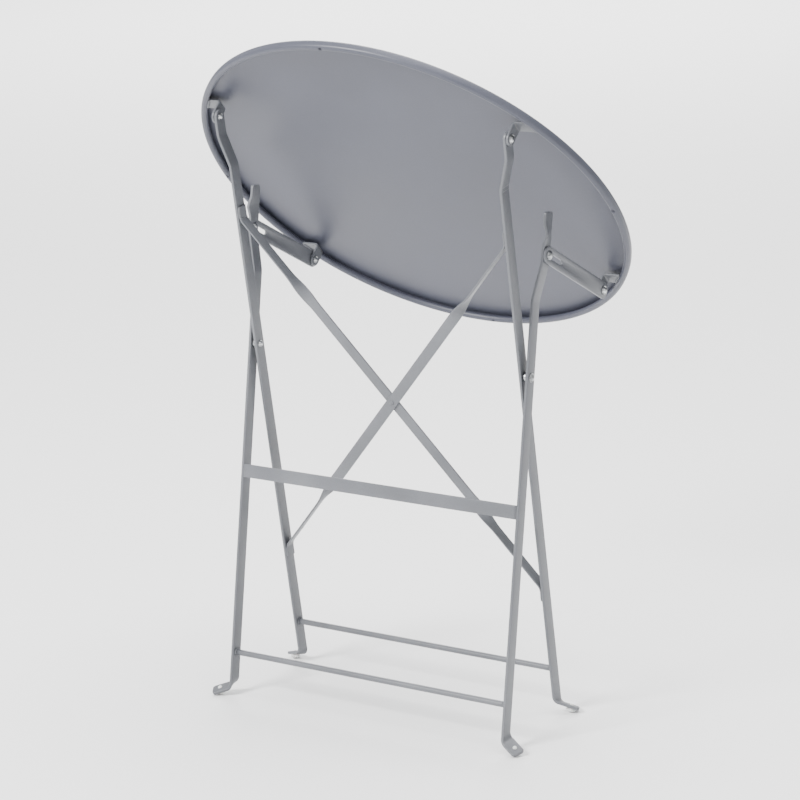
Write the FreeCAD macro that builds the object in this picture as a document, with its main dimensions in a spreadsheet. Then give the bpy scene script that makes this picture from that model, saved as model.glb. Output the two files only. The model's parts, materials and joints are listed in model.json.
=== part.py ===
import FreeCAD, Part
import math
import os
import Sketcher

"""Round folding bistro table in powder-coated steel, half folded.

Frame of the model, in millimetres: X runs along the hinge bolts, Z is up, the
floor is Z = 0, and the far rim of the top hangs down towards +Y. Each steel bar
is drawn in its own flat frame (X across the table, Y across the bar's width, Z
along the bar) and is then leaned about the scissor pivot by its Placement.
"""

SIZES = {
    # tabletop
    "top_diameter": 600.0, "sheet_gauge": 1.2, "rim_depth": 13.0, "rim_roll": 9.0,
    "shoulder": 5.0,
    "top_tilt": 46.2, "bolt_drop": 28.5, "bracket_span": 321.4,
    # flat steel bars and round rods
    "bar_width": 18.0, "bar_gauge": 4.0, "rod_diameter": 8.0,
    # scissor frames, measured from the pivot bolt along each leg
    "pivot_height": 477.34, "pivot_depth": -73.51,
    "inner_lean": 9.7, "outer_lean": 9.2,
    "hinge_reach": 317.5, "link_reach": 156.5, "tail_reach": 211.0,
    "inner_foot": 471.76, "outer_foot": 471.0, "inner_rod_drop": 420.0, "outer_rod_drop": 423.0,
    # half widths across the table, to the inner face of each bar
    "inner_half": 201.5, "outer_half": 211.0, "hinge_half": 214.0, "tail_half": 221.4,
    # bends of the legs
    "joggle_top": 25.0, "joggle_bottom": 65.0, "flare_start": 98.0, "flare_end": 146.0,
    # feet: the end of each bar is folded outwards along a line that is level when the leg leans by
    # foot_angle, and droops a little
    "foot_angle": 30.0, "foot_droop": 10.0, "tab_root": 7.0, "tab_length": 24.0, "tab_corner": 4.0,
    "glide_diameter": 12.0, "glide_height": 5.0,
    # crossbar and braces
    "crossbar_drop": 172.5, "crossbar_width": 18.0, "crossbar_gauge": 3.0,
    "brace_width": 15.0, "brace_gauge": 2.5, "brace_top": 177.5, "brace_bottom": 298.6,
    # slotted links and brackets
    "link_width": 22.0, "link_gauge": 3.0, "link_half": 226.0, "slot_length": 34.0, "slot_width": 6.4,
    "bracket_gauge": 3.0, "hinge_ear_half": 218.6, "link_ear_half": 222.4, "ear_width": 18.0,
    "flange_drop": 7.0, "flange_full": 235.8, "flange_end": 247.8,
    # bolts
    "bolt_diameter": 6.0, "hole_diameter": 6.1, "head_diameter": 12.0, "head_height": 3.4,
    "spacer_diameter": 13.0,
}


class Size:
    """A length that knows its number and the sheet expression that gives it."""

    def __init__(self, value, text):
        self.value = value
        self.text = text

    def join(self, other, sign, value):
        text = other.text if isinstance(other, Size) else repr(float(other))
        return Size(value, "(%s %s %s)" % (self.text, sign, text))

    def __add__(self, other):
        return self.join(other, "+", self.value + number(other))

    def __sub__(self, other):
        return self.join(other, "-", self.value - number(other))

    def __mul__(self, other):
        return self.join(other, "*", self.value * number(other))

    def __truediv__(self, other):
        return self.join(other, "/", self.value / number(other))

    def __neg__(self):
        return Size(-self.value, "(0 - %s)" % self.text)


def number(item):
    """Return the plain number of a Size or of a number."""
    return item.value if isinstance(item, Size) else float(item)


doc = FreeCAD.newDocument("folding_table")
sheet = doc.addObject("Spreadsheet::Sheet", "sizes")
for row, (alias, value) in enumerate(SIZES.items(), start=1):
    sheet.set("A%d" % row, alias)
    sheet.set("B%d" % row, str(value))
    sheet.setAlias("B%d" % row, alias)
doc.recompute()

PARTS = []
SIDES = (("left", -1.0), ("right", 1.0))
ZERO = Size(0.0, "0")


def size(alias):
    """Look up one driving dimension as a Size bound to its sheet cell."""
    return Size(SIZES[alias], "sizes." + alias)


def bind(thing, prop, item):
    """Bind one property of an object to the sheet."""
    thing.setExpression(prop, item.text)


def origin_plane(body, role):
    """Find a body's own origin plane by its role."""
    return next(f for f in body.Origin.OriginFeatures if f.Role == role)


def new_body(label):
    """Start a PartDesign body with its own label."""
    body = doc.addObject("PartDesign::Body", label)
    body.Label = label
    return body


def new_sketch(body, name, role):
    """Start a sketch on one origin plane of the body."""
    sketch = body.newObject("Sketcher::SketchObject", name)
    sketch.AttachmentSupport = [(origin_plane(body, role), "")]
    sketch.MapMode = "FlatFace"
    return sketch


def place_point(sketch, index, end, across, along):
    """Fix one sketch point at (across, along) from the origin, bound to the sheet."""
    for kind, item in (("DistanceX", across), ("DistanceY", along)):
        rule = sketch.addConstraint(Sketcher.Constraint(kind, -1, 1, index, end, item.value))
        sketch.setExpression("Constraints[%d]" % rule, item.text)


def draw_outline(sketch, corners):
    """Draw a closed outline of straight edges whose corners are (across, along) Sizes."""
    points = [FreeCAD.Vector(a.value, b.value, 0) for a, b in corners]
    count = len(points)
    first = sketch.GeometryCount
    for i in range(count):
        sketch.addGeometry(Part.LineSegment(points[i], points[(i + 1) % count]), False)
    for i in range(count):
        sketch.addConstraint(
            Sketcher.Constraint("Coincident", first + i, 2, first + (i + 1) % count, 1))
    for i, (across, along) in enumerate(corners):
        place_point(sketch, first + i, 1, across, along)


def draw_circle(sketch, across, along, diameter):
    """Draw a circle by its centre and diameter."""
    centre = FreeCAD.Vector(across.value, along.value, 0)
    index = sketch.addGeometry(
        Part.Circle(centre, FreeCAD.Vector(0, 0, 1), diameter.value / 2), False)
    place_point(sketch, index, 3, across, along)
    rule = sketch.addConstraint(Sketcher.Constraint("Diameter", index, diameter.value))
    sketch.setExpression("Constraints[%d]" % rule, diameter.text)


def draw_stadium(sketch, across, start, stop, width):
    """Draw a round-ended slot outline along the sketch's Y axis, from start to stop."""
    half = width.value / 2
    x, low, high = across.value, start.value, stop.value
    axis = FreeCAD.Vector(0, 0, 1)
    first = sketch.GeometryCount
    lower = Part.Circle(FreeCAD.Vector(x, low, 0), axis, half)
    upper = Part.Circle(FreeCAD.Vector(x, high, 0), axis, half)
    sketch.addGeometry(Part.ArcOfCircle(lower, math.pi, 2 * math.pi), False)
    sketch.addGeometry(
        Part.LineSegment(FreeCAD.Vector(x + half, low, 0), FreeCAD.Vector(x + half, high, 0)), False)
    sketch.addGeometry(Part.ArcOfCircle(upper, 0, math.pi), False)
    sketch.addGeometry(
        Part.LineSegment(FreeCAD.Vector(x - half, high, 0), FreeCAD.Vector(x - half, low, 0)), False)
    for a, b in ((0, 1), (1, 2), (2, 3), (3, 0)):
        sketch.addConstraint(Sketcher.Constraint("Tangent", first + a, 2, first + b, 1))
    place_point(sketch, first, 3, across, start)
    place_point(sketch, first + 2, 3, across, stop)
    rule = sketch.addConstraint(Sketcher.Constraint("Radius", first, half))
    sketch.setExpression("Constraints[%d]" % rule, (width / 2).text)


def pad(body, sketch, depth, both_ways=True):
    """Pad a sketch by a bound depth, evenly about its plane unless told otherwise."""
    feature = body.newObject("PartDesign::Pad", sketch.Name + "_pad")
    feature.Profile = sketch
    feature.SideType = "Symmetric" if both_ways else "One side"
    feature.Length = depth.value
    bind(feature, "Length", depth)
    sketch.Visibility = False
    return feature


def pocket_through(body, sketch):
    """Cut a sketch right through the body in both directions."""
    doc.recompute()
    before = body.Shape.Volume
    feature = body.newObject("PartDesign::Pocket", sketch.Name + "_pocket")
    feature.Profile = sketch
    feature.SideType = "Two sides"
    feature.Type = "ThroughAll"
    feature.Type2 = "ThroughAll"
    doc.recompute()
    if body.Shape.Volume >= before:
        raise RuntimeError("pocket cut nothing in " + body.Label)


def round_edges(body, radius, wanted):
    """Fillet the edges whose mid point and direction satisfy wanted(middle, direction)."""
    doc.recompute()
    names = []
    for i, edge in enumerate(body.Shape.Edges, start=1):
        if len(edge.Vertexes) != 2 or not isinstance(edge.Curve, Part.Line):
            continue
        middle = edge.valueAt((edge.FirstParameter + edge.LastParameter) / 2)
        if wanted(middle, edge.tangentAt(edge.FirstParameter)):
            names.append("Edge%d" % i)
    base = body.Tip
    before = body.Shape.Volume
    feature = body.newObject("PartDesign::Fillet", body.Label + "_round")
    feature.Base = (base, names)
    feature.Radius = radius.value
    bind(feature, "Radius", radius)
    doc.recompute()
    if body.Shape.Volume >= before:
        raise RuntimeError("fillet rounded nothing in " + body.Label)


def put(part, label, x=0.0, y=0.0, z=0.0, lean=0.0):
    """Place a part at (x, y, z), turned by lean degrees about the X axis, and keep it."""
    part.Label = label
    turn = FreeCAD.Rotation(FreeCAD.Vector(1, 0, 0), lean)
    part.Placement = FreeCAD.Placement(FreeCAD.Vector(x, y, z), turn)
    PARTS.append(part)
    return part


def along_x(direction):
    """Tell whether an edge direction runs along X."""
    return abs(direction.x) > 0.95


def stepped_pin(label, steps):
    """Turn a pin about X from (start, stop, diameter) steps that run towards +X."""
    body = new_body(label)
    sketch = new_sketch(body, label + "_section", "XY_Plane")
    corners = [(steps[0][0], ZERO)]
    for start, stop, diameter in steps:
        corners.append((start, diameter / 2))
        corners.append((stop, diameter / 2))
    corners.append((steps[-1][1], ZERO))
    draw_outline(sketch, corners)
    turned = body.newObject("PartDesign::Revolution", label + "_turned")
    turned.Profile = sketch
    turned.ReferenceAxis = (sketch, ["H_Axis"])
    turned.Angle = 360
    body.Tip = turned
    return body


def side_steps(side, steps):
    """Mirror pin steps, given outwards from the middle of the table, to one side."""
    if side > 0:
        return steps
    return [(-stop, -start, diameter) for start, stop, diameter in reversed(steps)]


GAUGE = size("bar_gauge")
HEAD = size("head_diameter")
BOLT = size("bolt_diameter")
HOLE = size("hole_diameter")
HEAD_HEIGHT = size("head_height")
RUN_GAP = 0.3


def bent_bar(label, side, stations, width):
    """Pad a bent flat bar: stations are (along, inner face) Sizes, from one end to the other."""
    body = new_body(label)
    sketch = new_sketch(body, label + "_edge", "XZ_Plane")
    inner = [(face * side, along) for along, face in stations]
    outer = [((face + GAUGE) * side, along) for along, face in reversed(stations)]
    draw_outline(sketch, inner + outer)
    pad(body, sketch, width)
    doc.recompute()
    return body


def tab_way(tilt):
    """Cosine and signed sine of the angle between a foot tab and the table's width."""
    angle = math.radians(-tilt)
    return math.cos(angle), math.sin(angle)


def foot_place(side, inner_face, foot, tilt):
    """Where a foot tab's root sits on its leg, with the plane of the tab turned level."""
    plane = FreeCAD.Rotation(FreeCAD.Vector(1, 0, 0), tilt)
    droop = FreeCAD.Rotation(FreeCAD.Vector(0, 1, 0), side * SIZES["foot_droop"])
    return FreeCAD.Placement(FreeCAD.Vector(side * inner_face, 0, -foot), plane.multiply(droop))


def glide_offset(tilt):
    """Place of the glide's centre on its foot tab: outwards and across."""
    cos, sin = tab_way(tilt)
    reach = size("tab_length") - size("bar_width") / 2
    return size("tab_root") + reach * cos, reach * sin


def foot_tab(label, side, inner_face, foot, tilt):
    """The folded end of a leg: it leaves the skewed fold and keeps the width of the bar."""
    tab = new_body(label)
    sketch = new_sketch(tab, label + "_face", "XY_Plane")
    cos, sin = tab_way(tilt)
    half = size("bar_width") / 2
    fold = half * (1 / cos)
    root = size("tab_root")
    reach = size("tab_length")
    draw_outline(sketch, [
        (ZERO, -fold), (root * side, -fold),
        ((root + reach * cos + half * sin) * side, reach * sin - half * cos),
        ((root + reach * cos - half * sin) * side, reach * sin + half * cos),
        (root * side, fold), (ZERO, fold)])
    pad(tab, sketch, GAUGE, both_ways=False)
    round_edges(tab, size("tab_corner"), lambda p, d: abs(p.x) > 15 and abs(d.z) > 0.9)
    hole = new_sketch(tab, label + "_hole", "XY_Plane")
    out, across = glide_offset(tilt)
    draw_circle(hole, out * side, across, HOLE)
    pocket_through(tab, hole)
    tab.Placement = foot_place(side, inner_face.value, foot.value, tilt)
    return tab


def cut_foot(bar, label, foot, tilt):
    """Cut the lower end of a bar along its skewed fold line."""
    slope = math.tan(math.radians(tilt))
    half = size("bar_width")
    sketch = new_sketch(bar, label + "_foot_cut", "YZ_Plane")
    draw_outline(sketch, [
        (-half, -(foot + half * slope)), (half, half * slope - foot),
        (half, -(foot + half * 3)), (-half, -(foot + half * 3))])
    pocket_through(bar, sketch)


def make_leg(label, side, stations, holes, foot, tilt, lean, corner):
    """A leg: a bent flat bar with its top corners rounded, bolt holes, and a foot tab below."""
    bar = bent_bar(label + "_bar", side, stations, size("bar_width"))
    top = max(along.value for along, face in stations)
    round_edges(bar, corner, lambda p, d: abs(p.z - top) < 0.5 and along_x(d))
    sketch = new_sketch(bar, label + "_holes", "YZ_Plane")
    for along in holes:
        draw_circle(sketch, ZERO, along, HOLE)
    pocket_through(bar, sketch)
    cut_foot(bar, label, foot, tilt)
    tab = foot_tab(label + "_tab", side, stations[0][1], foot, tilt)
    leg = doc.addObject("Part::Fuse", label)
    leg.Base = bar
    leg.Tool = tab
    return put(leg, label, y=SIZES["pivot_depth"], z=SIZES["pivot_height"], lean=lean)


def make_inner_legs():
    """Inner legs: straight from the foot to the joggle, then out to the hinge bracket."""
    reach = size("hinge_reach")
    top = reach + size("bar_width") / 2
    stations = [
        (-(size("inner_foot") + size("bar_width")), size("inner_half")),
        (reach - size("joggle_bottom"), size("inner_half")),
        (reach - size("joggle_top"), size("hinge_half")),
        (top, size("hinge_half")),
    ]
    for name, side in SIDES:
        make_leg(name + "_inner_leg", side, stations, [ZERO, reach], size("inner_foot"),
                 -SIZES["foot_angle"], SIZES["inner_lean"], size("bar_width") * 0.49)


def make_outer_legs():
    """Outer legs: straight from the foot to above the pivot, then flared out to the tail."""
    stations = [
        (-(size("outer_foot") + size("bar_width")), size("outer_half")),
        (size("flare_start"), size("outer_half")),
        (size("flare_end"), size("tail_half")),
        (size("tail_reach"), size("tail_half")),
    ]
    for name, side in SIDES:
        make_leg(name + "_outer_leg", side, stations, [ZERO, size("link_reach")],
                 size("outer_foot"), SIZES["foot_angle"], -SIZES["outer_lean"],
                 size("tab_corner"))


def leg_point(lean, across, along):
    """Turn a point of a leg's own frame (Y across, Z along) into the table's Y and Z."""
    a = math.radians(lean)
    y = SIZES["pivot_depth"] + across * math.cos(a) - along * math.sin(a)
    z = SIZES["pivot_height"] + across * math.sin(a) + along * math.cos(a)
    return y, z


def leg_place(lean):
    """Placement of a leg frame: turned about the pivot bolts by its lean."""
    pivot = FreeCAD.Vector(0, SIZES["pivot_depth"], SIZES["pivot_height"])
    return FreeCAD.Placement(pivot, FreeCAD.Rotation(FreeCAD.Vector(1, 0, 0), lean))


def make_rod(label, half, along, lean):
    """A round rod between the inner faces of a pair of legs."""
    rod = doc.addObject("Part::Cylinder", label)
    bind(rod, "Radius", size("rod_diameter") / 2)
    bind(rod, "Height", half * 2)
    y, z = leg_point(lean, 0.0, along)
    rod.Label = label
    turn = FreeCAD.Rotation(FreeCAD.Vector(0, 1, 0), 90)
    rod.Placement = FreeCAD.Placement(FreeCAD.Vector(-half.value, y, z), turn)
    PARTS.append(rod)


def make_crossbar():
    """A flat crossbar welded between the outer legs, flush with their front edges."""
    half = size("outer_half")
    bar = doc.addObject("Part::Box", "crossbar")
    bind(bar, "Length", half * 2)
    bind(bar, "Width", size("crossbar_gauge"))
    bind(bar, "Height", size("crossbar_width"))
    lean = -SIZES["outer_lean"]
    low = -SIZES["crossbar_drop"] - SIZES["crossbar_width"] / 2
    y, z = leg_point(lean, -SIZES["bar_width"] / 2, low)
    put(bar, "crossbar", x=-half.value, y=y, z=z, lean=lean)


def make_braces():
    """Two flat strips crossing between the inner legs, one in front of the other, and a rivet."""
    rise = SIZES["brace_top"] + SIZES["brace_bottom"]
    tilt = math.degrees(math.atan2(2 * SIZES["inner_half"], rise))
    centre = (SIZES["brace_top"] - SIZES["brace_bottom"]) / 2
    end_gap = 0.1
    half_length = (SIZES["inner_half"] - SIZES["brace_width"] / 2 - end_gap) / math.sin(math.radians(tilt))
    lean = SIZES["inner_lean"]
    gauge = SIZES["brace_gauge"]
    for label, sign in (("front_brace", 1.0), ("rear_brace", -1.0)):
        body = new_body(label)
        sketch = new_sketch(body, label + "_face", "XZ_Plane")
        length = Size(half_length, "%r" % half_length)
        draw_stadium(sketch, ZERO, -length, length, size("brace_width"))
        pad(body, sketch, size("brace_gauge"))
        hole = new_sketch(body, label + "_hole", "XZ_Plane")
        draw_circle(hole, ZERO, ZERO, BOLT * 0.7)
        pocket_through(body, hole)
        body.Label = label
        y, z = leg_point(lean, -sign * gauge / 2, centre)
        swing = FreeCAD.Rotation(FreeCAD.Vector(0, 1, 0), sign * tilt)
        turn = FreeCAD.Rotation(FreeCAD.Vector(1, 0, 0), lean)
        body.Placement = FreeCAD.Placement(FreeCAD.Vector(0, y, z), turn.multiply(swing))
        PARTS.append(body)
    rivet = new_body("brace_rivet")
    sketch = new_sketch(rivet, "brace_rivet_section", "YZ_Plane")
    face = size("brace_gauge")
    cap = size("brace_gauge") + size("head_height") * 0.4
    head = size("head_diameter") * 0.3
    draw_outline(sketch, [
        (-cap, ZERO), (-cap, head * 0.7), (-face, head), (-face, BOLT * 0.35), (face, BOLT * 0.35),
        (face, head), (cap, head * 0.7), (cap, ZERO)])
    turned = rivet.newObject("PartDesign::Revolution", "brace_rivet_turned")
    turned.Profile = sketch
    turned.ReferenceAxis = (sketch, ["H_Axis"])
    turned.Angle = 360
    y, z = leg_point(lean, 0.0, centre)
    put(rivet, "brace_rivet", y=y, z=z, lean=lean)


def make_glides():
    """Plastic glides under the foot tabs, each with a stem up through the tab's hole."""
    feet = (
        ("inner", "inner_half", "inner_foot", SIZES["inner_lean"], -SIZES["foot_angle"]),
        ("outer", "outer_half", "outer_foot", -SIZES["outer_lean"], SIZES["foot_angle"]),
    )
    for frame, half, foot, lean, tilt in feet:
        for name, side in SIDES:
            label = "%s_%s_glide" % (name, frame)
            body = new_body(label)
            sketch = new_sketch(body, label + "_section", "XZ_Plane")
            rim = size("glide_diameter") / 2
            height = size("glide_height")
            draw_outline(sketch, [
                (ZERO, -height), (rim * 0.8, -height), (rim, -(height * 0.7)), (rim, ZERO),
                (HOLE / 2, ZERO), (HOLE / 2, GAUGE), (ZERO, GAUGE)])
            turned = body.newObject("PartDesign::Revolution", label + "_turned")
            turned.Profile = sketch
            turned.ReferenceAxis = (sketch, ["V_Axis"])
            turned.Angle = 360
            out, across = glide_offset(tilt)
            on_tab = FreeCAD.Vector(side * number(out), number(across), 0)
            body.Label = label
            body.Placement = leg_place(lean).multiply(
                foot_place(side, SIZES[half], SIZES[foot], tilt)).multiply(
                FreeCAD.Placement(on_tab, FreeCAD.Rotation()))
            PARTS.append(body)


def hinge_point():
    """Return the table's Y and Z of the bolt between inner leg and tabletop."""
    return leg_point(SIZES["inner_lean"], 0.0, SIZES["hinge_reach"])


def top_point(out, below):
    """Table Y and Z of a point of the top: out along it from its centre, below its upper face."""
    a = math.radians(SIZES["top_tilt"])
    hinge_y, hinge_z = hinge_point()
    along = out + SIZES["bracket_span"] / 2
    rise = SIZES["bolt_drop"] - below
    y = hinge_y + along * math.cos(a) + rise * math.sin(a)
    z = hinge_z - along * math.sin(a) + rise * math.cos(a)
    return y, z


def place_on_top(part, label, out=0.0):
    """Lay a part that was drawn under a level top onto the tilted top."""
    y, z = top_point(out, 0.0)
    return put(part, label, y=y, z=z, lean=-SIZES["top_tilt"])


def make_tabletop():
    """The flat sheet of the top, from its middle out to where the rim's shoulder starts."""
    panel = new_body("tabletop_panel")
    sketch = new_sketch(panel, "panel_outline", "XY_Plane")
    flat = size("top_diameter") - size("rim_roll") * 2 - size("shoulder") * 2
    draw_circle(sketch, ZERO, ZERO, flat)
    feature = pad(panel, sketch, size("sheet_gauge"), both_ways=False)
    feature.Reversed = True
    place_on_top(panel, "tabletop_panel")


def make_rim():
    """The spun rim: rounded shoulder, straight wall and a rolled hem along its lower edge."""
    radius = SIZES["top_diameter"] / 2
    gauge = SIZES["sheet_gauge"]
    roll = SIZES["rim_roll"] / 2
    depth = SIZES["rim_depth"]
    shoulder = SIZES["shoulder"]
    bend = math.sqrt(0.5)
    start = radius - 2 * roll - shoulder
    low = -depth + roll
    crown_x = radius - shoulder
    small = shoulder - gauge
    hem = math.sqrt(roll * roll - (roll - gauge) ** 2)

    def at(r, z):
        return FreeCAD.Vector(r, 0, z)

    def arc(start_point, middle, end_point):
        return Part.Arc(start_point, middle, end_point).toShape()

    def line(start_point, end_point):
        return Part.LineSegment(start_point, end_point).toShape()

    wall = at(radius - gauge, low + hem)
    edges = [
        line(at(start, 0), at(crown_x, 0)),
        arc(at(crown_x, 0), at(crown_x + shoulder * bend, -shoulder + shoulder * bend),
            at(radius, -shoulder)),
        line(at(radius, -shoulder), at(radius, low)),
        arc(at(radius, low), at(radius - roll, -depth), at(radius - 2 * roll, low)),
        arc(at(radius - 2 * roll, low), at(radius - roll - roll * bend, low + roll * bend), wall),
        line(wall, at(radius - gauge, -shoulder)),
        arc(at(radius - gauge, -shoulder), at(crown_x + small * bend, -shoulder + small * bend),
            at(crown_x, -gauge)),
        line(at(crown_x, -gauge), at(start, -gauge)),
        line(at(start, -gauge), at(start, 0)),
    ]
    section = Part.Face(Part.Wire(edges))
    rim = doc.addObject("Part::Feature", "rolled_rim")
    rim.Shape = section.revolve(FreeCAD.Vector(0, 0, 0), FreeCAD.Vector(0, 0, 1), 360)
    place_on_top(rim, "rolled_rim")


def make_bracket(label, side, ear_half, out):
    """A folded bracket: an ear with a round end and the bolt hole, and a flange turned outwards
    that meets the inner side of the rolled hem."""
    gauge = size("bracket_gauge")
    ear = new_body(label + "_ear")
    sketch = new_sketch(ear, label + "_outline", "YZ_Plane")
    drop = size("bolt_drop")
    root = -size("flange_drop")
    half = size("ear_width") / 2
    low = -(drop + half)
    draw_outline(sketch, [(-half, root), (half, root), (half, low), (-half, low)])
    pad(ear, sketch, gauge)
    doc.recompute()
    round_edges(ear, half * 0.98, lambda p, d: abs(p.z - low.value) < 0.5 and along_x(d))
    hole = new_sketch(ear, label + "_bolt_hole", "YZ_Plane")
    draw_circle(hole, ZERO, -drop, HOLE)
    doc.recompute()
    pocket_through(ear, hole)
    ear.Placement = FreeCAD.Placement(
        FreeCAD.Vector(side * (ear_half.value + gauge.value / 2), 0, 0), FreeCAD.Rotation())
    flange = new_body(label + "_flange")
    face = new_sketch(flange, label + "_flange_face", "XY_Plane")
    away = 1.0 if out > 0 else -1.0
    start = ear_half * side
    full = size("flange_full") * side
    end = size("flange_end") * side
    draw_outline(face, [
        (start, half * -away), (start, half * away), (full, half * away), (end, half * -away)])
    pad(flange, face, gauge, both_ways=False)
    flange.Placement = FreeCAD.Placement(
        FreeCAD.Vector(0, 0, root.value - gauge.value), FreeCAD.Rotation())
    bracket = doc.addObject("Part::Fuse", label)
    bracket.Base = ear
    bracket.Tool = flange
    place_on_top(bracket, label, out)


def make_brackets():
    """Hinge brackets at the near rim and link brackets at the far rim, fixed to the hem."""
    reach = SIZES["bracket_span"] / 2
    for name, side in SIDES:
        make_bracket(name + "_hinge_bracket", side, size("hinge_ear_half"), -reach)
        make_bracket(name + "_link_bracket", side, size("link_ear_half"), reach)


def link_ends():
    """Return Y, Z of the tail bolt and of the bracket bolt that each link joins."""
    tail = leg_point(-SIZES["outer_lean"], 0.0, SIZES["link_reach"])
    bracket = top_point(SIZES["bracket_span"] / 2, SIZES["bolt_drop"])
    return tail, bracket


def make_links():
    """Slotted links: flat bars from the bracket bolt to the slot that runs on the tail bolt."""
    tail, bracket = link_ends()
    length = math.hypot(tail[0] - bracket[0], tail[1] - bracket[1])
    lean = math.degrees(math.atan2(bracket[0] - tail[0], tail[1] - bracket[1]))
    span = Size(length, repr(length))
    for name, side in SIDES:
        label = name + "_slotted_link"
        body = new_body(label)
        sketch = new_sketch(body, label + "_outline", "YZ_Plane")
        draw_stadium(sketch, ZERO, ZERO, span, size("link_width"))
        pad(body, sketch, size("link_gauge"))
        doc.recompute()
        cut = new_sketch(body, label + "_slot", "YZ_Plane")
        draw_stadium(cut, ZERO, span - size("slot_length"), span, size("slot_width"))
        draw_circle(cut, ZERO, ZERO, HOLE)
        pocket_through(body, cut)
        x = side * (SIZES["link_half"] + SIZES["link_gauge"] / 2)
        put(body, label, x=x, y=bracket[0], z=bracket[1], lean=lean)


def make_bolts():
    """Bolts and rivets of the four pairs of joints, each turned in one piece with its heads."""
    half = size("inner_half")
    ear = size("hinge_ear_half") + size("bracket_gauge") + RUN_GAP
    far = size("outer_half") + GAUGE + RUN_GAP
    link_face = size("link_half") + size("link_gauge")
    link_ear = size("link_ear_half")
    tail = size("tail_half")
    hinge_y, hinge_z = hinge_point()
    (tail_y, tail_z), (end_y, end_z) = link_ends()
    rows = [
        ("hinge_bolt", hinge_y, hinge_z, [
            (size("hinge_half") - HEAD_HEIGHT, size("hinge_half"), HEAD * 0.8),
            (size("hinge_half"), ear, BOLT), (ear, ear + HEAD_HEIGHT, HEAD)]),
        ("pivot_bolt", SIZES["pivot_depth"], SIZES["pivot_height"], [
            (half - HEAD_HEIGHT, half, HEAD * 0.8),
            (half, far, BOLT), (far, far + HEAD_HEIGHT, HEAD)]),
        ("tail_rivet", tail_y, tail_z, [
            (tail - HEAD_HEIGHT, tail, HEAD * 0.8),
            (tail, tail + GAUGE, BOLT)]),
        ("slot_pin", tail_y, tail_z, [
            (size("link_half"), link_face, BOLT),
            (link_face, link_face + HEAD_HEIGHT, HEAD)]),
        ("bracket_bolt", end_y, end_z, [
            (link_ear - HEAD_HEIGHT, link_ear, HEAD * 0.8),
            (link_ear, link_face + RUN_GAP, BOLT),
            (link_face + RUN_GAP, link_face + HEAD_HEIGHT + RUN_GAP, HEAD)]),
    ]
    for kind, y, z, steps in rows:
        for name, side in SIDES:
            label = name + "_" + kind
            put(stepped_pin(label, side_steps(side, steps)), label, y=y, z=z)


def make_spacers():
    """Spacer rings on the pivot bolts, between the inner and the outer leg."""
    start = size("inner_half") + GAUGE
    stop = size("outer_half") - RUN_GAP
    for name, side in SIDES:
        label = name + "_pivot_spacer"
        body = new_body(label)
        sketch = new_sketch(body, label + "_ring", "YZ_Plane")
        draw_circle(sketch, ZERO, ZERO, size("spacer_diameter"))
        draw_circle(sketch, ZERO, ZERO, BOLT)
        pad(body, sketch, stop - start)
        x = side * (start.value + stop.value) / 2
        put(body, label, x=x, y=SIZES["pivot_depth"], z=SIZES["pivot_height"])


def check_and_write():
    """Stop on any failed or invalid object, then write one STEP file for each part."""
    doc.recompute()
    for thing in doc.Objects:
        if {"Invalid", "Error"} & set(thing.State):
            raise RuntimeError("failed object: " + thing.Label)
    os.makedirs("parts", exist_ok=True)
    for part in PARTS:
        shape = part.Shape
        if shape.isNull() or not shape.isValid():
            raise RuntimeError("bad shape: " + part.Label)
        shape.exportStep("parts/%s.step" % part.Label)
        box = shape.optimalBoundingBox(False)
        print("%-22s %9.0f mm3  y %8.2f..%7.2f  z %7.2f..%7.2f" % (
            part.Label, shape.Volume, box.YMin, box.YMax, box.ZMin, box.ZMax))


make_inner_legs()
make_outer_legs()
make_rod("inner_rod", size("inner_half"), -SIZES["inner_rod_drop"], SIZES["inner_lean"])
make_rod("outer_rod", size("outer_half"), -SIZES["outer_rod_drop"], -SIZES["outer_lean"])
make_crossbar()
make_braces()
make_glides()
make_tabletop()
make_rim()
make_brackets()
make_links()
make_bolts()
make_spacers()
check_and_write()
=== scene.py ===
import json
import math

import bpy
import numpy as np
from mathutils import Matrix, Vector


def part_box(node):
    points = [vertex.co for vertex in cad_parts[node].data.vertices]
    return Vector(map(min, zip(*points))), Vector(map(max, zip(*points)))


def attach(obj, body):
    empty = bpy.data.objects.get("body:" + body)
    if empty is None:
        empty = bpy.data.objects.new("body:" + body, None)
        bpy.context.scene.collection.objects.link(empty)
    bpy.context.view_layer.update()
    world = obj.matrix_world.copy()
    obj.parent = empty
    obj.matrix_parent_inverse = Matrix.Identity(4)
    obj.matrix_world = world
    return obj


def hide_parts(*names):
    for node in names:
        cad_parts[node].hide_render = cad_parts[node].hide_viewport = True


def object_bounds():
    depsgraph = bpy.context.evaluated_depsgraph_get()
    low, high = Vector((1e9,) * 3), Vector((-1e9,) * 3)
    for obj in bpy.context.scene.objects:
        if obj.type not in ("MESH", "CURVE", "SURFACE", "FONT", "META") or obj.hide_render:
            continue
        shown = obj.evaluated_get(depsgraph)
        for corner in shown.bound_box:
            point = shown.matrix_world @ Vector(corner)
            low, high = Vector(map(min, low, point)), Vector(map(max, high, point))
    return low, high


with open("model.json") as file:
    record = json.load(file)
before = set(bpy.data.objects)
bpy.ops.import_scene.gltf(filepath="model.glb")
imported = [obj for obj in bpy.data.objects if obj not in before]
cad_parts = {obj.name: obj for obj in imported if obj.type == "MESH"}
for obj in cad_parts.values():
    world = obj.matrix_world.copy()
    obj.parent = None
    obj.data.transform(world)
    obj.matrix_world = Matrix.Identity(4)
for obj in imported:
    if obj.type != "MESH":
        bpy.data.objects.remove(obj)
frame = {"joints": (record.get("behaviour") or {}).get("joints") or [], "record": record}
cad_low, cad_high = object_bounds()
MM = 0.001

# ---------------------------------------------------------------------------
# Places, read from the frame
# ---------------------------------------------------------------------------


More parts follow.
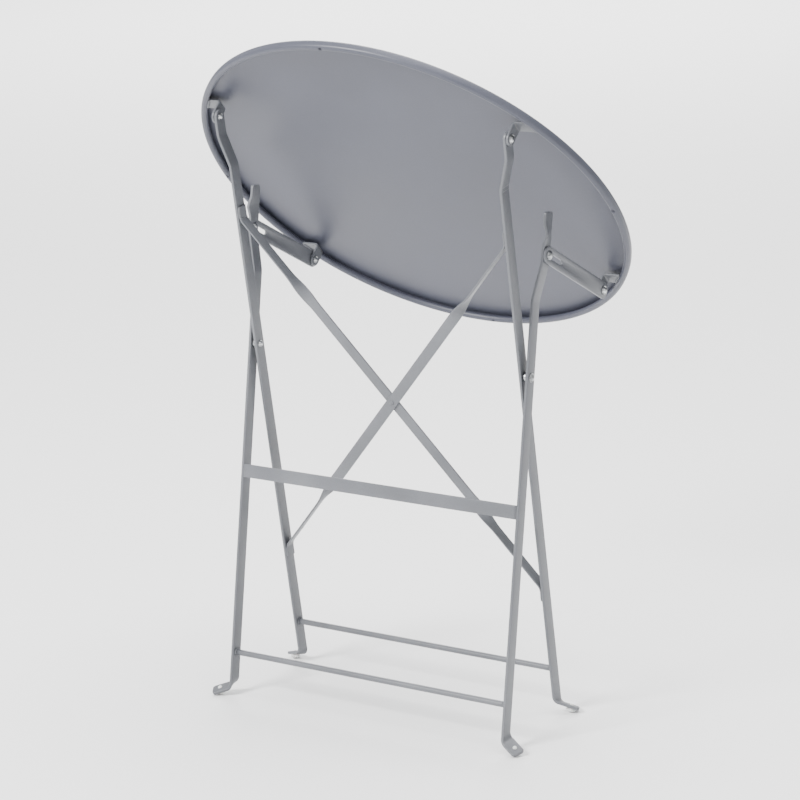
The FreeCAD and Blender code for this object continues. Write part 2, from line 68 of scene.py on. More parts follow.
def joint(name):
    """The record's joint of that name."""
    return next(j for j in frame["joints"] if j["name"] == name)


def box_array(node):
    """Lowest and highest corner of a CAD node as two arrays."""
    low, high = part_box(node)
    return np.array(low), np.array(high)


def middle(node):
    """Middle of a CAD node's box."""
    low, high = box_array(node)
    return (low + high) / 2


def span_x(node, side):
    """X of a CAD node's two ends: first the one nearer the table's middle, then the other."""
    low, high = box_array(node)
    return (low[0], high[0]) if side > 0 else (high[0], low[0])


PIVOT = np.array(joint("frame_fold")["pos_m"])
HINGE = np.array(joint("top_tilt")["pos_m"])
BRACKET = np.array(joint("right_link_swing")["pos_m"])
TAIL = middle("right_slot_pin")
MOUNT = frame["record"]["mounts"][0]
TOP_CENTRE = np.array(MOUNT["pos_m"])
TOP_NORMAL = np.array(MOUNT["axis"])
SIDES = (("left", -1.0), ("right", 1.0))


def lean_of(upper, lower):
    """Angle by which the line from lower up to upper leans towards -Y."""
    return math.atan2(lower[1] - upper[1], upper[2] - lower[2])


def reach_between(a, b):
    """Distance between two bolts, seen along X."""
    return float(np.linalg.norm((a - b)[1:]))


INNER_LEAN = lean_of(HINGE, PIVOT)
OUTER_LEAN = lean_of(TAIL, PIVOT)
TOP_TILT = math.atan2(TOP_NORMAL[1], TOP_NORMAL[2])

# flat steel bars and the soft edges that rolling gives them
BAR_WIDTH = 18 * MM
BAR_GAUGE = 4 * MM
BAR_EDGE = 1.1 * MM
TAB_CORNER = 4 * MM
# half widths across the table, to the inner face of each bar and each bracket's ear
INNER_HALF = 201.5 * MM
OUTER_HALF = 211 * MM
HINGE_HALF = 214 * MM
TAIL_HALF = 221.4 * MM
HINGE_EAR = 218.6 * MM
LINK_EAR = 222.4 * MM
# places along the legs, measured from the pivot bolt, and between the two brackets of one side
HINGE_REACH = reach_between(HINGE, PIVOT)
TAIL_BOLT_REACH = reach_between(TAIL, PIVOT)
BRACKET_REACH = reach_between(HINGE, BRACKET) / 2
TAIL_REACH = 211 * MM
INNER_FOOT = 471.76 * MM
OUTER_FOOT = 471 * MM
# joggle of the inner legs, measured down from the hinge bolt, and flare of the outer legs,
# measured up from the pivot bolt
JOGGLE_TOP = 25 * MM
JOGGLE_BOTTOM = 65 * MM
JOGGLE_BEND = 30 * MM
FLARE_START = 98 * MM
FLARE_END = 146 * MM
FLARE_BEND = 40 * MM
# feet: the angle of the skewed fold, how far the tab droops, the bend's radius, the tab's length
FOOT_ANGLE = math.radians(30)
FOOT_DROOP = math.radians(10)
FOOT_BEND = 7 * MM
FOOT_REACH = 24 * MM
# bolts and rivets: radii of the shank, the outer and the inner head, height of a head, and
# thickness of the collar round it
SHANK = 3 * MM
HEAD = 6 * MM
INNER_HEAD = 4.8 * MM
HEAD_HEIGHT = 3.4 * MM
COLLAR = 0.8 * MM
# radius of the last ring of a turned piece, where its flat end closes on the axis
AXIS = 0.1 * MM
# a hair under the CAD radius, so that the drawn rim never leaves its box
TOP_RADIUS = (cad_high.x - cad_low.x) / 2 - 0.02 * MM

# ---------------------------------------------------------------------------
# Colour and nodes
# ---------------------------------------------------------------------------


def colour(text):
    """Turn an sRGB hex colour into linear RGBA."""
    parts = [int(text[i:i + 2], 16) / 255 for i in (1, 3, 5)]
    linear = [p / 12.92 if p <= 0.04045 else ((p + 0.055) / 1.055) ** 2.4 for p in parts]
    return (*linear, 1.0)


def add(tree, kind, settings=None, links=None):
    """Add one node; settings are properties or input values, links are input to output socket."""
    node = tree.nodes.new(kind)
    for key, value in (settings or {}).items():
        if hasattr(node, key):
            setattr(node, key, value)
        else:
            node.inputs[key].default_value = value
    for key, socket in (links or {}).items():
        tree.links.new(socket, node.inputs[key])
    return node


def ramp(tree, source, stops):
    """A colour ramp over a 0..1 value; stops are (place, linear colour)."""
    node = add(tree, "ShaderNodeValToRGB", links={"Fac": source})
    elements = node.color_ramp.elements
    while len(elements) < len(stops):
        elements.new(0.5)
    for element, (place, value) in zip(elements, stops):
        element.position = place
        element.color = value
    return node.outputs["Color"]


def new_material(name):
    """An empty node material with its output, and its tree."""
    material = bpy.data.materials.new(name)
    material.use_nodes = True
    tree = material.node_tree
    tree.nodes.clear()
    return material, tree, tree.nodes.new("ShaderNodeOutputMaterial")


def powder_coat(name, base, light, dark, roughness):
    """Powder-coated steel: baked polyester, satin, with an orange-peel skin about 2.5 mm across.

    The eye sees a broad soft highlight broken up by the peel, fine speckle from the powder
    grains, slow drifts of tone over a hand's width, and a painted highlight along every convex edge.
    """
    material, tree, out = new_material(name)
    place = add(tree, "ShaderNodeTexCoord").outputs["Object"]
    peel = add(tree, "ShaderNodeTexNoise",
               {"Scale": 1 / 0.0025, "Detail": 2.0, "Roughness": 0.5}, {"Vector": place})
    # powder grains are about 0.05 mm and too fine to show, so they are drawn 1 mm across
    grain = add(tree, "ShaderNodeTexNoise",
                {"Scale": 1 / 0.001, "Detail": 1.0, "Roughness": 0.6}, {"Vector": place})
    drift = add(tree, "ShaderNodeTexNoise",
                {"Scale": 1 / 0.16, "Detail": 3.0, "Roughness": 0.55}, {"Vector": place})
    tone = ramp(tree, drift.outputs["Fac"],
                ((0.3, colour(dark)), (0.5, colour(base)), (0.72, colour(light))))
    speck = ramp(tree, grain.outputs["Fac"],
                 ((0.36, (0.90, 0.90, 0.90, 1)), (0.62, (1.04, 1.04, 1.04, 1))))
    body = add(tree, "ShaderNodeMix", {"data_type": "RGBA", "blend_type": "MULTIPLY"})
    body.inputs["Factor"].default_value = 1.0
    tree.links.new(tone, body.inputs[6])
    tree.links.new(speck, body.inputs[7])
    # painted highlight: convex edges, found by pointiness, are mixed up to 0.35 of the way towards the
    # light tone, standing in for the light that the edges catch
    edge = add(tree, "ShaderNodeNewGeometry").outputs["Pointiness"]
    painted_edge_highlight = add(tree, "ShaderNodeMapRange",
               {"From Min": 0.54, "From Max": 0.66, "To Min": 0.0, "To Max": 0.35}, {"Value": edge})
    # the mix that lays the painted edge highlight over the coat's colour
    edge_highlight_mix = add(tree, "ShaderNodeMix", {"data_type": "RGBA"})
    tree.links.new(painted_edge_highlight.outputs["Result"], edge_highlight_mix.inputs["Factor"])
    tree.links.new(body.outputs[2], edge_highlight_mix.inputs[6])
    edge_highlight_mix.inputs[7].default_value = colour(light)
    shine = add(tree, "ShaderNodeMapRange",
                {"From Min": 0.3, "From Max": 0.7, "To Min": roughness - 0.05,
                 "To Max": roughness + 0.07}, {"Value": drift.outputs["Fac"]})
    skin = add(tree, "ShaderNodeBump", {"Strength": 0.16, "Distance": 0.0003},
               {"Height": peel.outputs["Fac"]})
    shader = add(tree, "ShaderNodeBsdfPrincipled", {"Metallic": 0.0, "IOR": 1.5},
                 {"Base Color": edge_highlight_mix.outputs[2], "Roughness": shine.outputs["Result"],
                  "Normal": skin.outputs["Normal"]})
    tree.links.new(shader.outputs["BSDF"], out.inputs["Surface"])
    return material


def zinc_plate():
    """Bright zinc plate on pressed bolt heads: a thin crystalline metal skin, slightly milky,
    with tool marks and grey handling stains, so its highlight is bright but soft-edged."""
    material, tree, out = new_material("bright_zinc_plate")
    place = add(tree, "ShaderNodeTexCoord").outputs["Object"]
    # zinc crystals are far below 1 mm and are drawn 1.2 mm across so that they show
    crystal = add(tree, "ShaderNodeTexVoronoi", {"Scale": 1 / 0.0012}, {"Vector": place})
    stain = add(tree, "ShaderNodeTexNoise", {"Scale": 1 / 0.006, "Detail": 4.0}, {"Vector": place})
    tone = ramp(tree, stain.outputs["Fac"], ((0.32, colour("#77797a")), (0.6, colour("#c3c5c6"))))
    rough = add(tree, "ShaderNodeMapRange", {"To Min": 0.22, "To Max": 0.38},
                {"Value": crystal.outputs["Distance"]})
    bump = add(tree, "ShaderNodeBump", {"Strength": 0.1, "Distance": 0.0001},
               {"Height": crystal.outputs["Distance"]})
    shader = add(tree, "ShaderNodeBsdfPrincipled", {"Metallic": 1.0},
                 {"Base Color": tone, "Roughness": rough.outputs["Result"],
                  "Normal": bump.outputs["Normal"]})
    tree.links.new(shader.outputs["BSDF"], out.inputs["Surface"])
    return material


def glide_plastic():
    """Injection-moulded polyethylene glides: waxy, milky white, scuffed grey where they drag."""
    material, tree, out = new_material("moulded_polyethylene")
    place = add(tree, "ShaderNodeTexCoord").outputs["Object"]
    scuff = add(tree, "ShaderNodeTexNoise", {"Scale": 1 / 0.003, "Detail": 5.0, "Roughness": 0.7},
                {"Vector": place})
    tone = ramp(tree, scuff.outputs["Fac"], ((0.35, colour("#a9aaa8")), (0.58, colour("#dedfdc"))))
    bump = add(tree, "ShaderNodeBump", {"Strength": 0.2, "Distance": 0.0002},
               {"Height": scuff.outputs["Fac"]})
    shader = add(tree, "ShaderNodeBsdfPrincipled",
                 {"Roughness": 0.5, "IOR": 1.51, "Subsurface Weight": 0.05},
                 {"Base Color": tone, "Normal": bump.outputs["Normal"]})
    tree.links.new(shader.outputs["BSDF"], out.inputs["Surface"])
    return material


def matt_floor():
    """The studio floor: pale matt paper."""
    material, tree, out = new_material("pale_paper")
    shader = add(tree, "ShaderNodeBsdfPrincipled", {"Base Color": colour("#f4f4f4"), "Roughness": 0.9})
    tree.links.new(shader.outputs["BSDF"], out.inputs["Surface"])
    return material


# painted shade: the tabletop's coat is the same grey paint as on the bars, set darker here to stand in
# for the shade on its down-facing underside
TOP_COAT_DARKENED_AS_SHADE = powder_coat("grey_powder_coat", "#434550", "#4a4c57", "#3d3f4a", 0.42)
LEG_COAT = powder_coat("grey_powder_coat_on_bars", "#5f6166", "#696b6f", "#56585c", 0.38)
ZINC = zinc_plate()
GLIDE = glide_plastic()

# ---------------------------------------------------------------------------
# Surfaces
# ---------------------------------------------------------------------------


def smooth(x):
    """Smooth step from 0 to 1 over x in 0..1: 3x^2 - 2x^3."""
    x = np.clip(x, 0.0, 1.0)
    return x * x * (3 - 2 * x)


def turned(points, lean):
    """Turn points about the X axis by an angle."""
    c, s = math.cos(lean), math.sin(lean)
    matrix = np.array([[1, 0, 0], [0, c, -s], [0, s, c]])
    return points @ matrix.T


def make_piece(name, points, faces, material, body):
    """Make one mesh object in the table's frame, smooth-shaded, and let it ride on a body."""
    mesh = bpy.data.meshes.new(name)
    mesh.from_pydata(points.tolist(), [], faces)
    mesh.validate()
    mesh.polygons.foreach_set("use_smooth", np.ones(len(mesh.polygons), bool))
    mesh.materials.append(material)
    piece = bpy.data.objects.new(name, mesh)
    bpy.context.scene.collection.objects.link(piece)
    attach(piece, body)
    return piece


def grid_faces(rows, columns, wrap_rows=False, wrap_columns=True):
    """Quads of a rows x columns grid of points, each direction open or closed on itself."""
    i = np.arange(rows if wrap_rows else rows - 1)
    j = np.arange(columns if wrap_columns else columns - 1)
    i, j = (a.ravel() for a in np.meshgrid(i, j, indexing="ij"))
    i2, j2 = (i + 1) % rows, (j + 1) % columns
    return np.stack([i * columns + j, i * columns + j2, i2 * columns + j2, i2 * columns + j], 1)


def tube_faces(rows, columns):
    """Quads of an open tube of closed rings, plus one face over each end ring."""
    faces = grid_faces(rows, columns).tolist()
    faces.append(list(range(columns))[::-1])
    faces.append([(rows - 1) * columns + k for k in range(columns)])
    return faces


def outward(points, faces):
    """Reverse all faces if the closed surface's signed volume is negative."""
    total = 0.0
    for size in (3, 4):
        chosen = np.array([f[:4] for f in faces if len(f) == size]).reshape(-1, size)
        for k in range(1, size - 1):
            if len(chosen):
                a, b, c = points[chosen[:, 0]], points[chosen[:, k]], points[chosen[:, k + 1]]
                total += np.einsum("ij,ij->i", a, np.cross(b, c)).sum()
    if total < 0:
        return [list(f)[::-1] for f in faces]
    return [list(f) for f in faces]


def rounded_section(corner):
    """The rounded outline of a rectangle: which corner each point belongs to, as a pair of signs,
    and its offset from that corner's centre. Each corner is a quarter circle of 5 points."""
    count = 5
    signs, offsets = [], []
    for quarter, (a, b) in enumerate(((1, 1), (-1, 1), (-1, -1), (1, -1))):
        t = math.pi / 2 * (quarter + np.linspace(0, 1, count))
        signs.append(np.repeat([[a, b]], count, 0))
        offsets.append(np.stack([np.cos(t), np.sin(t)], 1) * corner)
    return np.concatenate(signs), np.concatenate(offsets)


def bar_surface(path, normals, lows, highs, gauge, corner, across, shear=None):
    """A flat bar carried along a path.

    At each station of the path the section is a rectangle, gauge thick along the station's
    normal and reaching from low to high along across, with rounded corners of the given radius.
    across is one direction for the whole bar or one for each station. Where low and high meet,
    the bar's end is round. shear moves each point of a section by an amount that depends on the
    station and on the place across the width.
    """
    signs, offsets = rounded_section(corner)
    middle_line = (lows + highs) / 2
    wide = np.maximum((highs - lows) / 2, corner * 1.02)
    thick = signs[:, 0] * (gauge / 2 - corner) + offsets[:, 0]
    flat = middle_line[:, None] + signs[None, :, 1] * (wide[:, None] - corner) + offsets[None, :, 1]
    across = np.broadcast_to(across, path.shape)
    points = (path[:, None, :] + normals[:, None, :] * thick[None, :, None]
              + across[:, None, :] * flat[:, :, None])
    if shear is not None:
        points = points + shear(flat)
    rows, columns = points.shape[:2]
    points = points.reshape(-1, 3)
    return points, outward(points, tube_faces(rows, columns))


def round_end(distance, half_width, corner=None):
    """Half width of a bar at a distance from its end, with corners of a radius: the half width
    less what a circle of that radius leaves out. Without a radius the end is a half circle."""
    r = half_width if corner is None else corner
    d = np.clip(distance, 0.0, r)
    return half_width - r + np.sqrt(np.maximum(r ** 2 - (r - d) ** 2, 0.0))


def bend_path(corners, radii, step):
    """A path of straight runs joined by arcs through corner points in a plane, evenly stepped.

    Each inner corner is replaced by a circular arc of its own radius that touches both runs.
    """
    corners = np.array(corners, float)
    pieces = [corners[:1]]
    for i, radius in enumerate(radii, start=1):
        before, here, after = corners[i - 1], corners[i], corners[i + 1]
        a = (before - here) / np.linalg.norm(before - here)
        b = (after - here) / np.linalg.norm(after - here)
        half = math.acos(np.clip(a @ b, -1, 1)) / 2
        reach = radius / math.tan(half)
        centre = here + (a + b) / np.linalg.norm(a + b) * radius / math.sin(half)
        start, stop = here + a * reach - centre, here + b * reach - centre
        t = np.linspace(0, 1, 13)[:, None]
        angle = math.acos(np.clip(start @ stop / radius ** 2, -1, 1))
        arc = (np.sin((1 - t) * angle) * start + np.sin(t * angle) * stop) / math.sin(angle)
        pieces.append(centre + arc)
    pieces.append(corners[-1:])
    line = np.concatenate(pieces)
    steps = np.linalg.norm(np.diff(line, axis=0), axis=1)
    along = np.concatenate([[0], np.cumsum(steps)])
    # finer steps near both ends, where the bar's end is rounded
    end = np.linspace(0, 1, 9)[1:-1] ** 2 * (BAR_WIDTH / 2)
    even = np.linspace(0, along[-1], int(along[-1] / step))
    wanted = np.unique(np.concatenate([even, end, along[-1] - end, along]))
    return np.stack([np.interp(wanted, along, line[:, k]) for k in range(2)], 1), wanted


def leg_place(points, side, lean):
    """Take points from a leg's own frame (x outwards, y across the bar, z along) to the table."""
    placed = turned(points * [side, 1, 1], lean)
    placed[:, 1:] += PIVOT[1:]
    return placed


def side_faces(faces, side):
    """Reverse the faces of a piece that was mirrored to the left side."""
    return [f[::-1] for f in faces] if side < 0 else faces


def upright(flat, y=0.0):
    """Stand (x, z) pairs up in the X-Z plane as points or directions, at one Y or at many."""
    return np.column_stack([flat[:, 0], np.zeros(len(flat)) + y, flat[:, 1]])


def plane_normals(path):
    """Normals in its own plane of a flat path: its unit tangent turned a quarter turn."""
    tangent = np.gradient(path, axis=0)
    tangent /= np.linalg.norm(tangent, axis=1)[:, None]
    return np.stack([tangent[:, 1], -tangent[:, 0]], 1)


# the way across the width of a leg or a bracket, in its own frame
FRONT_TO_BACK = np.array([0, 1.0, 0])

# crimp of the tail: the front edge is pressed outwards above the tail bolt
CRIMP_MIDDLE = TAIL_BOLT_REACH + 25 * MM
CRIMP_SPREAD = 9 * MM
CRIMP_DEPTH = 5 * MM


def crimp_shear(along):
    """Push the front edge of a bar outwards: a bell curve along the bar times a smooth rise
    from its middle line to its front edge."""

    def shear(flat):
        bell = np.exp(-((along - CRIMP_MIDDLE) / CRIMP_SPREAD) ** 2)
        rise = smooth(-flat / (BAR_WIDTH / 2))
        push = CRIMP_DEPTH * bell[:, None] * rise
        return np.stack([push, np.zeros_like(push), np.zeros_like(push)], 2)

    return shear


def fold_foot(flat, drop, thick, foot, tilt):
    """Fold the end of a flat bar outwards about a skewed line.

    flat is the place across the bar and drop the place below the fold's middle, both on the
    unfolded bar; thick is the place through its thickness. Above the fold nothing changes; in
    the fold the bar follows an arc about the fold line; past it, it runs straight outwards and
    a little down. Returns points in the leg's own frame, x measured from the bar's middle.
    """
    c, s = math.cos(tilt), math.sin(tilt)
    along_fold = flat * c - drop * s
    above_fold = -flat * s - drop * c
    # the fold starts this far above the fold line, so that the tab's lower face meets the glide
    start = FOOT_BEND + BAR_GAUGE / 2 - 1.5 * MM
    full = math.pi / 2 - FOOT_DROOP
    past = np.maximum(start - above_fold, 0.0)
    turn = np.minimum(past / FOOT_BEND, full)
    beyond = past - turn * FOOT_BEND
    out = FOOT_BEND * (1 - np.cos(turn)) + beyond * math.sin(full) + thick * np.cos(turn)
    level = np.where(past > 0, start - FOOT_BEND * np.sin(turn) - beyond * math.cos(full), above_fold)
    level = level + thick * np.sin(turn)
    return np.stack([out, along_fold * c - level * s, along_fold * s + level * c - foot], -1)


def foot_strip(foot, tilt, top):
    """The lower end of a leg as one bar surface from top, down through the fold, to the tab's end.

    The tab keeps the bar's width and has rounded corners; its hole is not cut, the glide's stem
    fills it.
    """
    # length of the unfolded bar below the fold line: the tab, and what the bend uses up
    end = FOOT_REACH + FOOT_BEND * 0.45
    bend_top, bend_bottom = -18 * MM, 12 * MM
    drop = np.unique(np.concatenate([
        np.linspace(-top, bend_top, 8), np.linspace(bend_top, bend_bottom, 46),
        np.linspace(bend_bottom, end, 12), end - TAB_CORNER * np.linspace(0, 1, 9) ** 2]))
    wide = round_end(end - drop, BAR_WIDTH / 2, TAB_CORNER)
    signs, offsets = rounded_section(BAR_EDGE)
    thick = signs[:, 0] * (BAR_GAUGE / 2 - BAR_EDGE) + offsets[:, 0]
    flat = signs[None, :, 1] * (wide[:, None] - BAR_EDGE) + offsets[None, :, 1]
    return fold_foot(flat, np.repeat(drop[:, None], flat.shape[1], 1), thick[None, :], foot, tilt)


def make_leg(name, side, corners, bend, lean, foot, tilt, crimp=False):
    """A leg: one flat bar bent along its path and folded outwards at its foot.

    Its upper end is a half circle, or square with small corners on a crimped leg.
    """
    centre = np.array(corners) + [BAR_GAUGE / 2, 0]
    path, along = bend_path(centre, (bend, bend), 6 * MM)
    wide = round_end(along[-1] - along, BAR_WIDTH / 2, TAB_CORNER if crimp else None)
    shear = crimp_shear(path[:, 1]) if crimp else None
    upper, _ = bar_surface(upright(path), upright(plane_normals(path)), -wide, wide, BAR_GAUGE,
                           BAR_EDGE, FRONT_TO_BACK, shear)
    upper = upper.reshape(len(path), -1, 3)
    # the foot's strip reaches up to 40 mm above the foot, and the bent path takes over from 45 mm
    lower = foot_strip(foot, tilt, 40 * MM)
    lower[:, :, 0] += centre[0, 0]
    keep = upper[:, :, 2].min(1) > -foot + 45 * MM
    rings = np.concatenate([lower[::-1], upper[keep]])
    rows, columns = rings.shape[:2]
    points = rings.reshape(-1, 3)
    faces = outward(points - points.mean(0), tube_faces(rows, columns))
    points = leg_place(points, side, lean)
    body = "inner_frame" if "inner" in name else "outer_frame"
    bar = make_piece(name, points, side_faces(faces, side), LEG_COAT, body)
    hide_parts(name)


def make_legs():
    """Both pairs of legs, bent as flat bar is bent: joggled at the hinges, flared to the tails."""
    top = HINGE_REACH + BAR_WIDTH / 2
    inner = [(INNER_HALF, -INNER_FOOT), (INNER_HALF, HINGE_REACH - JOGGLE_BOTTOM),
             (HINGE_HALF, HINGE_REACH - JOGGLE_TOP), (HINGE_HALF, top)]
    outer = [(OUTER_HALF, -OUTER_FOOT), (OUTER_HALF, FLARE_START),
             (TAIL_HALF, FLARE_END), (TAIL_HALF, TAIL_REACH)]
    for name, side in SIDES:
        make_leg(name + "_inner_leg", side, inner, JOGGLE_BEND, INNER_LEAN, INNER_FOOT, -FOOT_ANGLE)
        make_leg(name + "_outer_leg", side, outer, FLARE_BEND, OUTER_LEAN, OUTER_FOOT, FOOT_ANGLE,
                 crimp=True)


def make_rod(node, body):
    """A drawn round rod between the legs: a plain cylinder along X."""
    low, high = box_array(node)
    centre = (low + high) / 2
    radius = (high[2] - low[2]) / 2
    along = np.linspace(low[0], high[0], 60)
    t = np.linspace(0, 2 * math.pi, 32, endpoint=False)
    ring = np.stack([np.zeros_like(t), np.cos(t), np.sin(t)], 1) * radius + [0, centre[1], centre[2]]
    points = np.repeat(ring[None, :, :], len(along), 0)
    points[:, :, 0] = along[:, None]
    points = points.reshape(-1, 3)
    rod = make_piece(node, points, outward(points, tube_faces(len(along), len(t))), LEG_COAT, body)
    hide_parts(node)


CROSSBAR_GAUGE = 3 * MM
CROSSBAR_WIDTH = 18 * MM
CROSSBAR_EDGE = 1.0 * MM
CROSSBAR_DROP = 172.5 * MM


def make_crossbar():
    """The flat crossbar: a straight bar along X with rolled edges, flush with the legs' fronts."""
    count = 80
    along = np.linspace(-OUTER_HALF, OUTER_HALF, count)
    line = np.column_stack([along, np.full(count, -CROSSBAR_DROP)])
    path = upright(line, -BAR_WIDTH / 2 + CROSSBAR_GAUGE / 2)
    normals = np.tile(FRONT_TO_BACK, (count, 1))
    wide = np.full(count, CROSSBAR_WIDTH / 2)
    up = np.array([0, 0, 1.0])
    points, faces = bar_surface(path, normals, -wide, wide, CROSSBAR_GAUGE, CROSSBAR_EDGE, up)
    points = leg_place(points, 1.0, OUTER_LEAN)
    bar = make_piece("crossbar", points, faces, LEG_COAT, "outer_frame")
    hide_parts("crossbar")


BRACE_WIDTH = 15 * MM
BRACE_GAUGE = 2.5 * MM
BRACE_EDGE = 0.8 * MM
BRACE_TOP = 177.5 * MM
BRACE_BOTTOM = -298.6 * MM
BRACE_TAB = 18 * MM
BRACE_BEND = 14 * MM
# each twist starts at this share of the strip's length and takes up this share of it
LOWER_TWIST = 0.17
UPPER_TWIST = 0.74
TWIST_SHARE = 0.09


def make_brace(name, sign, gap):
    """A brace strip: flat where it crosses the other, and given a quarter twist towards each end
    so that its last stretch lies edge-on, against the inner face of the leg.

    The twist angle goes smoothly from a quarter turn to 0 and back, about a fifth of the
    strip's length from each end, and the strip bends into a short tab along the leg.
    """
    reach = INNER_HALF - BRACE_GAUGE / 2 - 0.2 * MM
    ends = [(-sign * reach, BRACE_BOTTOM - BRACE_TAB), (-sign * reach, BRACE_BOTTOM),
            (sign * reach, BRACE_TOP), (sign * reach, BRACE_TOP + BRACE_TAB)]
    path, along = bend_path(ends, (BRACE_BEND, BRACE_BEND), 4 * MM)
    share = along / along[-1]
    after_lower = smooth((share - LOWER_TWIST) / TWIST_SHARE)
    after_upper = smooth((share - UPPER_TWIST) / TWIST_SHARE)
    twist = (1 - after_lower + after_upper) * math.pi / 2
    cos, sin = np.cos(twist)[:, None], np.sin(twist)[:, None]
    flat = upright(plane_normals(path))
    width_way = flat * cos + FRONT_TO_BACK * sin
    normal_way = FRONT_TO_BACK * cos - flat * sin
    # the strip stands off the middle plane only between its twists, where it passes the other
    centre = upright(path, after_lower * (1 - after_upper) * gap)
    wide = np.full(len(path), BRACE_WIDTH / 2)
    points, faces = bar_surface(centre, normal_way, -wide, wide, BRACE_GAUGE, BRACE_EDGE, width_way)
    points = leg_place(points, 1.0, INNER_LEAN)
    strip = make_piece(name, points, faces, LEG_COAT, "inner_frame")
    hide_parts(name)


# ---------------------------------------------------------------------------
# Tabletop
# ---------------------------------------------------------------------------

SHEET = 1.2 * MM
RIM_DEPTH = 13 * MM
ROLL = 4.5 * MM
SHOULDER = 5 * MM
# the hem is rolled inwards by this many degrees, counted from its outermost point
HEM_TURN = -235
HOLE_RADIUS = 2.3 * MM
HOLE_DEPTH = 4 * MM
HOLE_ANGLES = (0.0, 90.0, 180.0, 270.0)


def arc_points(centre, radius, start, stop, count):
    """Points of an arc in the (radius, height) plane, angles in degrees."""
    t = np.radians(np.linspace(start, stop, count))
    return np.stack([centre[0] + radius * np.cos(t), centre[1] + radius * np.sin(t)], 1)


def top_section():
    """Closed section of the spun top: face, shoulder, wall, rolled hem, back under the sheet.

    The hem is a tube of sheet rolled inwards and up, whose lip stops short of the wall, so a
    dark gap runs round behind it.
    """
    crown = (TOP_RADIUS - SHOULDER, -SHOULDER)
    roll = (TOP_RADIUS - ROLL, -RIM_DEPTH + ROLL)
    inner = ROLL - SHEET
    out = np.linspace(0.0, crown[0] - 1 * MM, 60)
    lip = arc_points(roll, inner + SHEET / 2, HEM_TURN, HEM_TURN, 1)[0]
    return np.concatenate([
        np.column_stack([out, np.zeros(60)]),
        arc_points(crown, SHOULDER, 90, 0, 9),
        arc_points(roll, ROLL, 0, HEM_TURN, 52),
        arc_points(lip, SHEET / 2, HEM_TURN, HEM_TURN - 180, 6)[1:-1],
        arc_points(roll, inner, HEM_TURN, 0, 30),
        arc_points(crown, SHOULDER - SHEET, 0, 90, 8),
        np.column_stack([out[::-1], np.full(60, -SHEET)]),
    ])


def top_angles():
    """Angles round the top: even steps, with finer ones beside each drain hole."""
    even = np.linspace(0, 2 * math.pi, 420, endpoint=False)
    near = np.linspace(-1, 1, 19) * 3 * HOLE_RADIUS / TOP_RADIUS
    fine = [math.radians(a) + near for a in HOLE_ANGLES]
    every = np.sort(np.concatenate([even, *fine]) % (2 * math.pi))
    keep = np.concatenate([[True], np.diff(every) > 1e-4])
    return every[keep]


def place_top(points):
    """Take points drawn under a level top to the tilted top."""
    return turned(points, -TOP_TILT) + TOP_CENTRE


def make_top():
    """The spun top: its section turned about the middle, with a pit pressed at each drain hole.

    A drain hole is a pit that is deepest at its middle, pushed straight up into the lowest line
    of the rolled hem. One point in the middle closes each face of the sheet.
    """
    section = top_section()
    angles = top_angles()
    radius, height = section[1:-1, 0], section[1:-1, 1]
    x = np.cos(angles)[:, None] * radius[None, :]
    y = np.sin(angles)[:, None] * radius[None, :]
    z = np.repeat(height[None, :], len(angles), 0)
    points = np.stack([x, y, z], 2)
    reach = TOP_RADIUS - ROLL
    for a in (math.radians(d) for d in HOLE_ANGLES):
        centre = [reach * math.cos(a), reach * math.sin(a), -RIM_DEPTH]
        distance = np.linalg.norm(points - centre, axis=2)
        pit = 1 - smooth((distance - HOLE_RADIUS * 0.75) / (HOLE_RADIUS * 0.45))
        points[:, :, 2] += pit * HOLE_DEPTH
    rows, columns = points.shape[:2]
    faces = grid_faces(rows, columns, wrap_rows=True, wrap_columns=False).tolist()
    points = points.reshape(-1, 3)
    upper = np.full(rows, len(points))
    points = np.concatenate([points, [[0, 0, 0], [0, 0, -SHEET]]])
    ring = np.arange(rows) * columns
    after = np.roll(ring, -1)
    last = columns - 1
    faces += np.stack([ring, after, upper], 1).tolist()
    faces += np.stack([after + last, ring + last, upper + 1], 1).tolist()
    faces = outward(points, faces)
    # the top is drawn in the coat that is darkened as painted shade
    top = make_piece("spun_top", place_top(points), faces, TOP_COAT_DARKENED_AS_SHADE, "tabletop")
    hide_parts("tabletop_panel", "rolled_rim")


# ---------------------------------------------------------------------------
# Brackets, links, bolts
# ---------------------------------------------------------------------------

BOLT_DROP = 28.5 * MM
BRACKET_GAUGE = 3 * MM
BRACKET_EDGE = 0.8 * MM
BRACKET_BEND = 4 * MM
EAR_WIDTH = 18 * MM
FLANGE_DROP = 7 * MM
FLANGE_FULL = 235.8 * MM
FLANGE_END = 247.8 * MM


def make_bracket(node, side, ear_inner, out):
    """A folded bracket: a strap bent through a right angle from the hem down into the ear.

    The flange runs outwards to the inner side of the rolled hem and is cut along it. The ear
    has a round end about the bolt.
    """
    root = -FLANGE_DROP - BRACKET_GAUGE / 2
    ear = ear_inner + BRACKET_GAUGE / 2
    corners = [(FLANGE_END, root), (ear, root), (ear, -BOLT_DROP - EAR_WIDTH / 2)]
    path, along = bend_path(corners, (BRACKET_BEND,), 1.5 * MM)
    wide = round_end(along[-1] - along, EAR_WIDTH / 2)
    cut = EAR_WIDTH * np.clip((path[:, 0] - FLANGE_FULL) / (FLANGE_END - FLANGE_FULL), 0, 1)
    near, far = (wide, wide - cut) if out > 0 else (wide - cut, wide)
    points, faces = bar_surface(upright(path), upright(plane_normals(path)), -near, far,
                                BRACKET_GAUGE, BRACKET_EDGE, FRONT_TO_BACK)
    points = points * [side, 1, 1] + [0, out, 0]
    bracket = make_piece(node, place_top(points), side_faces(faces, side), LEG_COAT, "tabletop")
    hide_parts(node)


